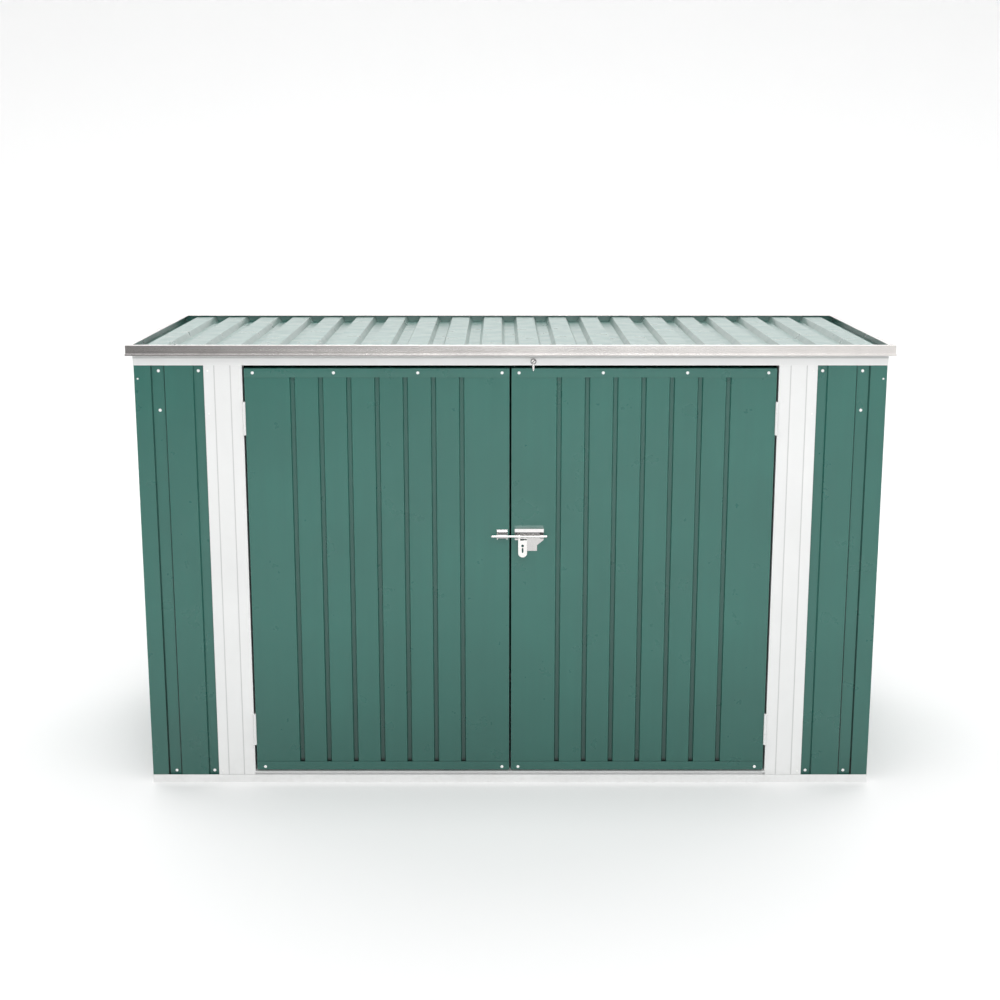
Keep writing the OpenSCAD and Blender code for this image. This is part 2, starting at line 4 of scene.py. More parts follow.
import bmesh
import bpy
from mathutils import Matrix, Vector


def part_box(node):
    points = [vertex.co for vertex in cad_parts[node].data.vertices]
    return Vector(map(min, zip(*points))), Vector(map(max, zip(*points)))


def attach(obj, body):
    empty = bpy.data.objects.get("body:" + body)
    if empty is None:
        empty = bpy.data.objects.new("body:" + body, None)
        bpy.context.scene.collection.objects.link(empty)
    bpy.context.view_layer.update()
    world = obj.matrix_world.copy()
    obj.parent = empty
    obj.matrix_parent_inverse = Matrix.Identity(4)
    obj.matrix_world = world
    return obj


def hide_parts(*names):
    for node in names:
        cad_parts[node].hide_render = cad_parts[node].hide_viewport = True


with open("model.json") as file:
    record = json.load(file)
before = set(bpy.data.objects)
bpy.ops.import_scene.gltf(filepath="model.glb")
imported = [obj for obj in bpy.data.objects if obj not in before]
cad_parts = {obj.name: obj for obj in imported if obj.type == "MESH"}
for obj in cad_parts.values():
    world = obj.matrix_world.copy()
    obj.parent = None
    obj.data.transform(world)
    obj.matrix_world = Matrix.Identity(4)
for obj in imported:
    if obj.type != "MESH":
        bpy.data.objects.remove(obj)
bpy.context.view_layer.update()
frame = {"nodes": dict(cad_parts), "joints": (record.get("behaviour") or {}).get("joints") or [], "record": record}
nodes = frame["nodes"]
joints = {joint["name"]: joint for joint in frame["joints"]}
bodyOfNode = {node: body for body, members in frame["record"]["behaviour"]["bodies"].items() for node in members}
slotOfNode = {part["node"]: part["material_slot"] for part in frame["record"]["subparts"]}
scene = bpy.context.scene
print("frame loaded:", len(nodes), "nodes")


# ---- small helpers for node materials

def newMaterial(name):
    material = bpy.data.materials.new(name)
    material.use_nodes = True
    tree = material.node_tree
    tree.nodes.clear()
    output = tree.nodes.new("ShaderNodeOutputMaterial")
    shader = tree.nodes.new("ShaderNodeBsdfPrincipled")
    tree.links.new(shader.outputs["BSDF"], output.inputs["Surface"])
    return material, tree, shader


def setInput(tree, node, key, value):
    if isinstance(value, bpy.types.NodeSocket):
        tree.links.new(value, node.inputs[key])
    else:
        node.inputs[key].default_value = value


def addNode(tree, kind, inputs=None, **settings):
    node = tree.nodes.new(kind)
    for key, value in settings.items():
        setattr(node, key, value)
    for key, value in (inputs or {}).items():
        setInput(tree, node, key, value)
    return node


def objectPoint(tree, scale=(1, 1, 1)):
    coords = addNode(tree, "ShaderNodeTexCoord")
    return addNode(tree, "ShaderNodeMapping", {"Vector": coords.outputs["Object"], "Scale": scale}).outputs["Vector"]


def noise(tree, point, scale, detail=4.0, roughness=0.55):
    return addNode(tree, "ShaderNodeTexNoise", {"Vector": point, "Scale": scale, "Detail": detail,
                                                "Roughness": roughness}).outputs["Fac"]


def spread(tree, value, low, high, toLow, toHigh):
    return addNode(tree, "ShaderNodeMapRange", {"Value": value, "From Min": low, "From Max": high,
                                                "To Min": toLow, "To Max": toHigh}).outputs["Result"]


def calc(tree, operation, first, second):
    return addNode(tree, "ShaderNodeMath", {0: first, 1: second}, operation=operation).outputs[0]


def mixColor(tree, factor, first, second):
    node = addNode(tree, "ShaderNodeMix", data_type="RGBA")
    for key, value in ((0, factor), (6, first), (7, second)):
        setInput(tree, node, key, value)
    return node.outputs[2]


def bump(tree, height, strength, distance, normal=None):
    inputs = {"Height": height, "Strength": strength, "Distance": distance}
    if normal is not None:
        inputs["Normal"] = normal
    return addNode(tree, "ShaderNodeBump", inputs).outputs["Normal"]


def rgba(color, gain=1.0):
    return tuple(min(channel * gain, 1.0) for channel in color) + (1.0,)


def faceAmount(tree, name):
    return addNode(tree, "ShaderNodeAttribute", attribute_name=name).outputs["Fac"]


def heightOf(tree, point):
    return addNode(tree, "ShaderNodeSeparateXYZ", {"Vector": point}).outputs["Z"]


def groundDust(tree, point, height, amount):
    low = spread(tree, heightOf(tree, point), 0.0, height, 1.0, 0.0)
    speck = spread(tree, noise(tree, point, 60.0, 5.0, 0.7), 0.46, 0.80, 0.0, amount)
    return calc(tree, "MULTIPLY", low, speck)


# ---- coated sheet

greenCoatLook = {
    "color": (0.020, 0.128, 0.102),
    "dustColor": (0.26, 0.29, 0.27),
    "wornColor": (0.11, 0.24, 0.20),   # paler tone along the folds: worn paint and a painted highlight
    "ribColor": (0.30, 0.36, 0.34),    # painted reflection: paler tone on the sides of the lid's ribs
    "ribAmount": 0.45,
    "grooveLow": 0.46,                 # painted shade in the grooves: tone left there near the ground and higher up
    "grooveHigh": 0.74,
    "lowTone": 0.78,                   # painted shade: tone of the sheets near the ground
    "shadeColor": (0.004, 0.006, 0.005),
    "roughness": 0.30,
    "coat": 0.35,
    "dustHeight": 0.05,
    "dustAmount": 0.12,
}


def makeGreenCoat(look):
    material, tree, shader = newMaterial("sageCoatedSheet")
    point = objectPoint(tree)
    cloud = spread(tree, noise(tree, point, 3.2, 3.0), 0.3, 0.7, 0.0, 1.0)
    tone = mixColor(tree, cloud, rgba(look["color"], 0.93), rgba(look["color"], 1.07))
    streak = spread(tree, noise(tree, objectPoint(tree, (26, 26, 1.1)), 2.0, 3.0), 0.4, 0.75, 0.0, 0.30)
    tone = mixColor(tree, streak, tone, rgba(look["color"], 0.86))
    # paler along the folds, patchy by noise: worn paint and a painted highlight
    wearAndHighlight = spread(tree, noise(tree, point, 34.0, 4.0, 0.65), 0.42, 0.66, 0.12, 0.75)
    tone = mixColor(tree, calc(tree, "MULTIPLY", faceAmount(tree, "foldWear"), wearAndHighlight), tone, rgba(look["wornColor"]))
    height = heightOf(tree, point)
    # painted shade: the sheets darken towards the ground
    tone = mixColor(tree, spread(tree, height, 0.05, 0.46, 1.0 - look["lowTone"], 0.0), tone, (0.0, 0.0, 0.0, 1.0))
    # painted reflection: paler tone on the sides of the lid's ribs
    tone = mixColor(tree, calc(tree, "MULTIPLY", faceAmount(tree, "ribSide"), look["ribAmount"]), tone,
                    rgba(look["ribColor"]))
    # painted shade in the door grooves and panel steps, deeper near the ground and darkest at each groove's lower end
    kept = spread(tree, height, 0.08, 0.90, look["grooveLow"], look["grooveHigh"])
    kept = calc(tree, "MULTIPLY", kept, spread(tree, height, 0.066, 0.069, 0.2, 1.0))
    shade = calc(tree, "MULTIPLY", faceAmount(tree, "recess"), calc(tree, "SUBTRACT", 1.0, kept))
    tone = mixColor(tree, shade, tone, rgba(look["shadeColor"]))
    dust = groundDust(tree, point, look["dustHeight"], look["dustAmount"])
    tone = mixColor(tree, dust, tone, rgba(look["dustColor"]))
    tree.links.new(tone, shader.inputs["Base Color"])
    rough = spread(tree, noise(tree, point, 14.0, 4.0), 0.3, 0.7, look["roughness"] - 0.04, look["roughness"] + 0.06)
    tree.links.new(rough, shader.inputs["Roughness"])
    shader.inputs["Coat Weight"].default_value = look["coat"]
    shader.inputs["Coat Roughness"].default_value = 0.16
    waves = noise(tree, objectPoint(tree, (5, 5, 1.4)), 1.6, 2.0)
    tree.links.new(bump(tree, waves, 0.10, 0.004), shader.inputs["Normal"])
    return material


# ---- white coat of posts, rails and hinges

whiteCoatLook = {
    "color": (0.76, 0.765, 0.76),
    "dustColor": (0.50, 0.49, 0.46),
    "foldColor": (0.90, 0.90, 0.895),  # painted highlight: brighter tone along the folds
    "shadeColor": (0.05, 0.05, 0.05),
    "creaseTone": 0.74,
    "hemLine": (1.1516, 1.1548),       # heights of the painted shadow line on the header under the lid's hem
    "hemTone": 0.70,
    "roughness": 0.34,
    "dustHeight": 0.10,
    "dustAmount": 0.25,
}
# the sill is painted brighter, as if lit, with a painted shadow line where it meets the base rail
sillLook = dict(whiteCoatLook, color=(0.90, 0.905, 0.90), hemLine=(0.0222, 0.0250), hemTone=0.72, dustAmount=0.05)


def makeWhiteCoat(name, look):
    material, tree, shader = newMaterial(name)
    point = objectPoint(tree)
    cloud = spread(tree, noise(tree, point, 4.5, 3.0), 0.3, 0.7, 0.0, 1.0)
    tone = mixColor(tree, cloud, rgba(look["color"], 0.97), rgba(look["color"], 1.03))
    # painted highlight along the folds, patchy by noise
    wearAndHighlight = spread(tree, noise(tree, point, 30.0, 4.0, 0.65), 0.40, 0.65, 0.55, 1.0)
    tone = mixColor(tree, calc(tree, "MULTIPLY", faceAmount(tree, "foldWear"), wearAndHighlight), tone, rgba(look["foldColor"]))
    # painted shade in the posts' creases
    tone = mixColor(tree, calc(tree, "MULTIPLY", faceAmount(tree, "recess"), 1.0 - look["creaseTone"]), tone,
                    rgba(look["shadeColor"]))
    height = heightOf(tree, point)
    # painted shadow: a darker band at fixed heights, on the header under the lid's hem and on the sill where it meets
    # the base rail
    low, high = look["hemLine"]
    line = calc(tree, "MULTIPLY", spread(tree, height, low - 0.0012, low, 0.0, 1.0),
                spread(tree, height, high, high + 0.002, 1.0, 0.0))
    tone = mixColor(tree, calc(tree, "MULTIPLY", line, 1.0 - look["hemTone"]), tone, rgba(look["shadeColor"]))
    dust = groundDust(tree, point, look["dustHeight"], look["dustAmount"])
    tone = mixColor(tree, dust, tone, rgba(look["dustColor"]))
    tree.links.new(tone, shader.inputs["Base Color"])
    rough = spread(tree, noise(tree, point, 18.0, 4.0), 0.3, 0.7, look["roughness"] - 0.05, look["roughness"] + 0.06)
    tree.links.new(rough, shader.inputs["Roughness"])
    normal = bump(tree, noise(tree, objectPoint(tree, (4, 4, 1.2)), 2.0, 2.0), 0.12, 0.003)
    normal = bump(tree, noise(tree, point, 380.0, 2.0), 0.05, 0.0006, normal)
    tree.links.new(normal, shader.inputs["Normal"])
    return material


# ---- bare metals

metalLooks = {
    "brightEdgeTrim": {"color": (0.80, 0.775, 0.76), "roughness": 0.19, "grain": (0.6, 60, 60), "grainScale": 4.0,
                       "grainDepth": 0.02, "roughSpread": 0.03, "spangle": 0.0},
    "galvanisedSteel": {"color": (0.56, 0.57, 0.58), "roughness": 0.42, "grain": (1, 1, 1), "grainScale": 30.0,
                        "grainDepth": 0.15, "roughSpread": 0.07, "spangle": 0.6},
    "stainlessFittings": {"color": (0.82, 0.81, 0.79), "roughness": 0.20, "grain": (1, 12, 80), "grainScale": 10.0,
                          "grainDepth": 0.10, "roughSpread": 0.07, "spangle": 0.0},
    # bolt guide and keeper: a painted shadow band above the bolt and a plate below it greyed as painted shade
    "latchPlates": {"color": (0.80, 0.79, 0.78), "roughness": 0.24, "grain": (1, 12, 80), "grainScale": 10.0,
                    "grainDepth": 0.08, "roughSpread": 0.05, "spangle": 0.0, "channel": (0.6918, 0.6962),
                    "channelTone": 0.12, "plateTone": 0.72},
    "darkSteel": {"color": (0.10, 0.10, 0.11), "roughness": 0.42, "grain": (1, 1, 1), "grainScale": 120.0,
                  "grainDepth": 0.08, "roughSpread": 0.05, "spangle": 0.0},
}


def makeMetal(name, look):
    material, tree, shader = newMaterial(name)
    point = objectPoint(tree)
    color = look["color"]
    lines = noise(tree, objectPoint(tree, look["grain"]), look["grainScale"], 3.0)
    cloud = spread(tree, noise(tree, point, 9.0, 4.0), 0.3, 0.7, 0.0, 1.0)
    tone = mixColor(tree, cloud, rgba(color, 0.92), rgba(color, 1.05))
    if look["spangle"]:
        cells = addNode(tree, "ShaderNodeTexVoronoi", {"Vector": point, "Scale": 85.0}).outputs["Color"]
        flake = addNode(tree, "ShaderNodeSeparateColor", {"Color": cells}).outputs[0]
        tone = mixColor(tree, spread(tree, flake, 0.0, 1.0, 0.0, look["spangle"]), tone, rgba(color, 0.74))
    # paler along the folds, patchy by noise: worn metal and a painted highlight
    wearAndHighlight = spread(tree, noise(tree, point, 40.0, 4.0, 0.65), 0.4, 0.7, 0.0, 0.5)
    tone = mixColor(tree, calc(tree, "MULTIPLY", faceAmount(tree, "foldWear"), wearAndHighlight), tone, rgba(color, 1.2))
    # painted shadow band above the bolt, painted shade on the plate below it
    if "channel" in look:
        low, high = look["channel"]
        height = heightOf(tree, point)
        below = spread(tree, height, low - 0.0005, low, 1.0, 0.0)
        above = spread(tree, height, high, high + 0.0005, 0.0, 1.0)
        kept = calc(tree, "ADD", calc(tree, "MULTIPLY", below, look["plateTone"] - look["channelTone"]),
                    calc(tree, "MULTIPLY", above, 1.0 - look["channelTone"]))
        lost = calc(tree, "SUBTRACT", 1.0 - look["channelTone"], kept)
        tone = mixColor(tree, lost, tone, (0.02, 0.02, 0.02, 1.0))
    tree.links.new(tone, shader.inputs["Base Color"])
    shader.inputs["Metallic"].default_value = 1.0
    rough = spread(tree, lines, 0.25, 0.75, look["roughness"] - look["roughSpread"],
                   look["roughness"] + look["roughSpread"])
    tree.links.new(rough, shader.inputs["Roughness"])
    tree.links.new(bump(tree, lines, look["grainDepth"], 0.0004), shader.inputs["Normal"])
    return material


greenCoat = makeGreenCoat(greenCoatLook)
whiteCoat = makeWhiteCoat("whiteCoatedSteel", whiteCoatLook)
metals = {name: makeMetal(name, look) for name, look in metalLooks.items()}
slotMaterials = {
    "green_sheet": greenCoat,
    "white_trim": whiteCoat,
    "bright_trim": metals["brightEdgeTrim"],
    "galvanised": metals["galvanisedSteel"],
    "fittings": metals["stainlessFittings"],
}
nodeMaterials = {
    "bolt_guide": metals["latchPlates"],
    "bolt_keeper": metals["latchPlates"],
    "door_sill": makeWhiteCoat("wipedSill", sillLook),
}
print("materials made:", len(slotMaterials) + len(nodeMaterials))


# ---- folded sheet: each pressed part again, with round folds in place of sharp ones

foldSet = {
    "sheetThick": 0.0012,
    "trimThick": 0.0015,
    "sheetInside": 0.0016,    # inside radius of folds in the ribbed sheets
    "trimInside": 0.0010,     # inside radius of folds in rails, posts and trims
    "ribInside": 0.0030,      # inside radius along the lid's ribs
    "fittingEdge": 0.0004,    # softening of the edges of hinges and latch parts
    "thin": 0.0022,           # faces narrower than this are cut edges
    "frontFace": 0.4215,      # how far the front sheets stand from the middle
    "widest": 0.02,           # fold size that a weight of one stands for
    "segments": 3,
}


def mergedCopy(nodeName):
    mesh = bmesh.new()
    mesh.from_mesh(nodes[nodeName].data)
    bmesh.ops.remove_doubles(mesh, verts=mesh.verts, dist=0.00001)
    bmesh.ops.dissolve_limit(mesh, angle_limit=math.radians(0.6), verts=mesh.verts, edges=mesh.edges,
                             delimit=set())
    return mesh


def acrossWidth(face, edge):
    along = (edge.verts[1].co - edge.verts[0].co).normalized()
    side = face.normal.cross(along)
    reach = [(corner.co - edge.verts[0].co).dot(side) for corner in face.verts]
    return max(reach) - min(reach)


def foldSize(edge, insideRadius, sheetThickness):
    if len(edge.link_faces) != 2 or edge.calc_face_angle(0.0) < math.radians(20):
        return 0.0
    across = min(acrossWidth(face, edge) for face in edge.link_faces)
    if insideRadius is None:
        return min(foldSet["fittingEdge"], across * 0.3) if edge.is_convex else 0.0
    if across < foldSet["thin"]:
        return 0.0
    radius = insideRadius + (sheetThickness if edge.is_convex else 0.0)
    return min(radius * math.tan(edge.calc_face_angle() / 2), across * 0.42)


def softenedPart(nodeName, pieceName, insideRadius, sheetThickness):
    mesh = mergedCopy(nodeName)
    weights = [foldSize(edge, insideRadius, sheetThickness) / foldSet["widest"] for edge in mesh.edges]
    data = bpy.data.meshes.new(pieceName)
    mesh.to_mesh(data)
    mesh.free()
    attribute = data.attributes.new("bevel_weight_edge", "FLOAT", "EDGE")
    attribute.data.foreach_set("value", weights)
    for _ in range(2):
        data.materials.append(nodeMaterials.get(nodeName, slotMaterials[slotOfNode[nodeName]]))
    source = bpy.data.objects.new(pieceName + "Source", data)
    scene.collection.objects.link(source)
    bevel = source.modifiers.new("roundFolds", "BEVEL")
    bevel.limit_method = "WEIGHT"
    bevel.offset_type = "OFFSET"
    bevel.width = foldSet["widest"]
    bevel.segments = foldSet["segments"]
    bevel.use_clamp_overlap = True
    bevel.miter_outer = "MITER_SHARP"
    bevel.material = 1
    level = source.modifiers.new("evenShading", "WEIGHTED_NORMAL")
    level.keep_sharp = False
    for polygon in data.polygons:
        polygon.use_smooth = True
    return bakeModifiers(source, nodeName, pieceName)


recessSet = {
    "grooveDepth": 0.005,     # depth at which a door groove has its full shade
    "outerStep": 1.5,         # shade of the front panels' steps, from the corner inwards
    "secondStep": 1.9,
    "innerStep": 0.5,
    "outerFrom": 0.90,
    "secondFrom": 0.85,
    "postCrease": 1.0,
}


def recessAmount(nodeName, center, normal):
    # how much painted shade a face inside a groove, crease or step takes
    look = recessSet
    if normal.y > -0.1:
        return 0.0
    if nodeName in ("door_left_panel", "door_right_panel"):
        depth = center.y + foldSet["frontFace"]
        return min(depth / look["grooveDepth"], 1.0) if 0.0004 < depth < 0.006 else 0.0
    if nodeName in ("front_panel_left", "front_panel_right") and abs(normal.x) > 0.3:
        if abs(center.x) > look["outerFrom"]:
            return look["outerStep"]
        return look["secondStep"] if abs(center.x) > look["secondFrom"] else look["innerStep"]
    if nodeName in ("door_post_left", "door_post_right") and 0.2 < abs(normal.x) < 0.8:
        return look["postCrease"]
    return 0.0


def setFaceValues(mesh, name, values):
    mesh.attributes.new(name, "FLOAT", "FACE").data.foreach_set("value", values)


def bakeModifiers(source, nodeName, pieceName):
    depsgraph = bpy.context.evaluated_depsgraph_get()
    final = bpy.data.meshes.new_from_object(source.evaluated_get(depsgraph), preserve_all_data_layers=True,
                                            depsgraph=depsgraph)
    final.name = pieceName
    bpy.data.objects.remove(source)
    faces = final.polygons
    # marks the rounded fold faces, which take the worn tone and the painted highlight
    setFaceValues(final, "foldWear", [float(face.material_index == 1) for face in faces])
    setFaceValues(final, "recess", [recessAmount(nodeName, face.center, face.normal) for face in faces])
    # sides of the lid's ribs, which take the painted reflection
    setFaceValues(final, "ribSide", [float(nodeName == "lid_sheet" and abs(face.normal.x) > 0.25
                                           and face.normal.z > 0.2) for face in faces])
    for face in faces:
        face.material_index = 0
    while len(final.materials) > 1:
        final.materials.pop(index=len(final.materials) - 1)
    piece = bpy.data.objects.new(pieceName, final)
    scene.collection.objects.link(piece)
    return piece


def camelName(nodeName):
    words = nodeName.split("_")
    return words[0] + "".join(word.capitalize() for word in words[1:])


sheetNodes = ("front_panel_left", "front_panel_right", "left_wall", "right_wall", "back_wall",
              "door_left_panel", "door_right_panel")
foldedNodes = ("base_rail_front", "base_rail_back", "base_rail_left", "base_rail_right", "door_sill",
               "corner_angles", "door_post_left", "door_post_right", "header", "top_rail_back",
               "top_rail_left", "top_rail_right", "door_left_top_band", "door_left_bottom_band",
               "door_right_top_band", "door_right_bottom_band", "lid_trim_front", "lid_trim_back",
               "lid_trim_left", "lid_trim_right")
pieces = {}
for nodeName in nodes:
    if nodeName in sheetNodes:
        radius, thickness = foldSet["sheetInside"], foldSet["sheetThick"]
    elif nodeName == "lid_sheet":
        radius, thickness = foldSet["ribInside"], foldSet["sheetThick"]
    elif nodeName in foldedNodes:
        radius, thickness = foldSet["trimInside"], foldSet["trimThick"]
    else:
        radius, thickness = None, 0.0
    piece = softenedPart(nodeName, camelName(nodeName) + "Formed", radius, thickness)
    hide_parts(nodeName)
    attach(piece, bodyOfNode[nodeName])
    pieces[nodeName] = piece
print("folded parts:", len(pieces), "triangles:",
      sum(len(polygon.vertices) - 2 for piece in pieces.values() for polygon in piece.data.polygons))


# ---- face of the turn catch: a dark seat with a slotted head in two halves; the seat shows as painted shade in the slot

catchSet = {
    "seatRadius": 0.0072,
    "seatThick": 0.0006,
    "sunk": 0.0004,           # how far the seat reaches into the catch
    "headRadius": 0.0054,
    "headThick": 0.0012,
    "slotWidth": 0.0014,
    "slotTurn": 40.0,
    "sides": 28,
}


def circlePoints(radius, sides):
    angles = [2 * math.pi * k / sides for k in range(sides)]
    return [(radius * math.cos(angle), radius * math.sin(angle)) for angle in angles]


def closeRings(mesh, rings):
    count = len(rings[0])
    for lower, upper in zip(rings, rings[1:]):
        for k in range(count):
            after = (k + 1) % count
            mesh.faces.new((lower[k], lower[after], upper[after], upper[k]))
    mesh.faces.new(rings[-1])
    mesh.faces.new(list(reversed(rings[0])))


def addSlab(mesh, outline, low, high, chamfer, middle):
    rings = []
    for height, scale in ((low, 1.0), (high - chamfer, 1.0), (high, 1.0 - chamfer / 0.004)):
        rings.append([mesh.verts.new((middle[0] + (x - middle[0]) * scale, middle[1] + (y - middle[1]) * scale, height))
                      for x, y in outline])
    closeRings(mesh, rings)


def facingFront(mesh, place, turn):
    # local +Z goes to the front, -Y, and the slot turns about it
    for corner in mesh.verts:
        x, y, z = corner.co
        turnedX = x * math.cos(turn) - y * math.sin(turn)
        turnedZ = x * math.sin(turn) + y * math.cos(turn)
        corner.co = (place[0] + turnedX, place[1] - z, place[2] + turnedZ)
    bmesh.ops.recalc_face_normals(mesh, faces=mesh.faces)


def addMeshPiece(name, mesh, material, body):
    data = bpy.data.meshes.new(name)
    mesh.to_mesh(data)
    mesh.free()
    data.materials.append(material)
    piece = bpy.data.objects.new(name, data)
    scene.collection.objects.link(piece)
    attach(piece, body)
    return piece


def makeCatchFace(look):
    axis = joints["catch_turn"]["pos_m"]
    front = min(corner[1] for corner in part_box("turn_catch"))
    place = (axis[0], front - 0.0002, axis[2])
    turn = math.radians(look["slotTurn"])
    count = look["sides"]
    # the dark seat stands as painted shade in the slot gap and as a dark ring round the head
    seat = bmesh.new()
    addSlab(seat, circlePoints(look["seatRadius"], count), -look["sunk"], look["seatThick"], 0.0002, (0.0, 0.0))
    facingFront(seat, place, turn)
    addMeshPiece("turnCatchSeat", seat, metals["darkSteel"], "turn_catch")
    head = bmesh.new()
    radius, gap = look["headRadius"], look["slotWidth"] / 2
    edge = math.asin(gap / radius)
    for side in (1, -1):
        half = []
        for k in range(count // 2 + 1):
            angle = edge + (math.pi - 2 * edge) * k / (count // 2)
            half.append((radius * math.cos(angle) * side, radius * math.sin(angle) * side))
        addSlab(head, half, look["seatThick"] - 0.0001, look["seatThick"] + look["headThick"], 0.0003,
                (0.0, side * radius * 0.5))
    facingFront(head, place, turn)
    addMeshPiece("turnCatchHead", head, metals["stainlessFittings"], "turn_catch")


makeCatchFace(catchSet)
print("turn catch face made")


# ---- screws in the sheets: one head, set out by a node tree on marked points

screwSet = {
    "washerRadius": 0.0040,
    "washerThick": 0.0008,
    "headRadius": 0.0029,
    "headHeight": 0.0022,
    "sunk": 0.0004,           # how far the washer reaches into the sheet
    "recess": 0.0008,
    "sides": 12,
    "turnSeed": 7,
    "smallScale": 0.62,       # the small screws in the corner and the posts
}
frontScrews = {
    "shell": [(0.895, 1.118, 1), (0.7935, 1.118, 1), (0.895, 1.016, 1), (0.9475, 1.0985, 0), (0.894, 0.032, 1),
              (0.7925, 0.032, 1), (0.7695, 1.119, 0), (0.7695, 1.008, 0), (0.7695, 0.032, 0)],
    "door_left": [(0.0215, 1.114, 1), (0.2355, 1.114, 1), (0.4495, 1.114, 1), (0.6555, 1.114, 1), (0.0215, 0.045, 1),
                  (0.655, 0.045, 1)],
}
frontScrews["door_right"] = frontScrews["door_left"]
bodySides = {"shell": (-1, 1), "door_left": (-1,), "door_right": (1,)}
sideHeights = (0.034, 0.30, 0.56, 0.82, 1.03)
sideDepths = (-0.402, 0.404)
backWidths = (-0.94, -0.47, 0.0, 0.47, 0.94)


def makeScrewHead(look):
    washer, dome, top = look["washerRadius"], look["headRadius"], look["washerThick"]
    high, sides = look["headHeight"], look["sides"]
    rings = [(washer, -look["sunk"]), (washer, top * 0.6), (washer * 0.94, top), (dome, top),
             (dome * 0.94, high * 0.72), (dome * 0.70, high * 0.95), (dome * 0.40, high),
             (dome * 0.24, high - look["recess"])]
    mesh = bmesh.new()
    loops = [[mesh.verts.new((x, y, height)) for x, y in circlePoints(radius, sides)] for radius, height in rings]
    # the driver's cross: four of the recess ring's corners reach further out
    for k, corner in enumerate(loops[-1]):
        if k % 3 == 0:
            corner.co.x *= 2.1
            corner.co.y *= 2.1
        else:
            corner.co.z += look["recess"] * 0.35
    for corner in loops[-2][::3]:
        corner.co.x *= 1.35
        corner.co.y *= 1.35
    closeRings(mesh, loops)
    data = bpy.data.meshes.new("screwHead")
    mesh.to_mesh(data)
    mesh.free()
    head = bpy.data.objects.new("screwHead", data)
    scene.collection.objects.link(head)
    return head


def makeScrewTree(headObject):
    tree = bpy.data.node_groups.new("screwRows", "GeometryNodeTree")
    face = tree.interface
    face.new_socket(name="Geometry", in_out="INPUT", socket_type="NodeSocketGeometry")
    face.new_socket(name="Head", in_out="INPUT", socket_type="NodeSocketObject")
    face.new_socket(name="Turn Seed", in_out="INPUT", socket_type="NodeSocketInt")
    face.new_socket(name="Small Scale", in_out="INPUT", socket_type="NodeSocketFloat")
    face.new_socket(name="Material", in_out="INPUT", socket_type="NodeSocketMaterial")
    face.new_socket(name="Geometry", in_out="OUTPUT", socket_type="NodeSocketGeometry")
    given = addNode(tree, "NodeGroupInput").outputs
    head = addNode(tree, "GeometryNodeObjectInfo", {"Object": given["Head"]}).outputs["Geometry"]
    facing = addNode(tree, "GeometryNodeInputNamedAttribute", {"Name": "facing"}, data_type="FLOAT_VECTOR")
    big = addNode(tree, "GeometryNodeInputNamedAttribute", {"Name": "big"}, data_type="FLOAT")
    align = addNode(tree, "FunctionNodeAlignRotationToVector", {"Vector": facing.outputs[0]}, axis="Z")
    turn = addNode(tree, "FunctionNodeRandomValue", data_type="FLOAT")
    turn.inputs[2].default_value = 0.0
    turn.inputs[3].default_value = math.pi / 2
    tree.links.new(given["Turn Seed"], turn.inputs["Seed"])
    spin = addNode(tree, "FunctionNodeAxisAngleToRotation", {"Axis": (0, 0, 1), "Angle": turn.outputs[1]})
    rotation = addNode(tree, "FunctionNodeRotateRotation", {0: align.outputs[0], 1: spin.outputs[0]},
                       rotation_space="LOCAL")
    size = addNode(tree, "ShaderNodeMapRange", {"Value": big.outputs[0], "To Min": given["Small Scale"]})
    setOut = addNode(tree, "GeometryNodeInstanceOnPoints", {"Points": given["Geometry"], "Instance": head,
                                                           "Rotation": rotation.outputs[0],
                                                           "Scale": size.outputs[0]})
    real = addNode(tree, "GeometryNodeRealizeInstances", {"Geometry": setOut.outputs[0]})
    colored = addNode(tree, "GeometryNodeSetMaterial", {"Geometry": real.outputs[0], "Material": given["Material"]})
    output = addNode(tree, "NodeGroupOutput")
    tree.links.new(colored.outputs[0], output.inputs[0])
    return tree


def surfaceAt(body, start, direction):
    best = None
    for nodeName, piece in pieces.items():
        if bodyOfNode[nodeName] != body:
            continue
        hit, place, _, _ = piece.ray_cast(Vector(start), Vector(direction))
        if hit and (best is None or (place - Vector(start)).length < (best - Vector(start)).length):
            best = place
    return best


def screwSpots(body):
    spots = []
    for x, z, big in frontScrews[body]:
        for side in bodySides[body]:
            spots.append((surfaceAt(body, (side * x, -0.7, z), (0, 1, 0)), (0, -1, 0), big))
    if body == "shell":
        for side in (-1, 1):
            for y in sideDepths:
                for z in sideHeights:
                    spots.append((surfaceAt(body, (side * 1.3, y, z), (-side, 0, 0)), (side, 0, 0), 1))
        for x in backWidths:
            for z in sideHeights:
                spots.append((surfaceAt(body, (x, 0.7, z), (0, -1, 0)), (0, 1, 0), 1))
    return spots


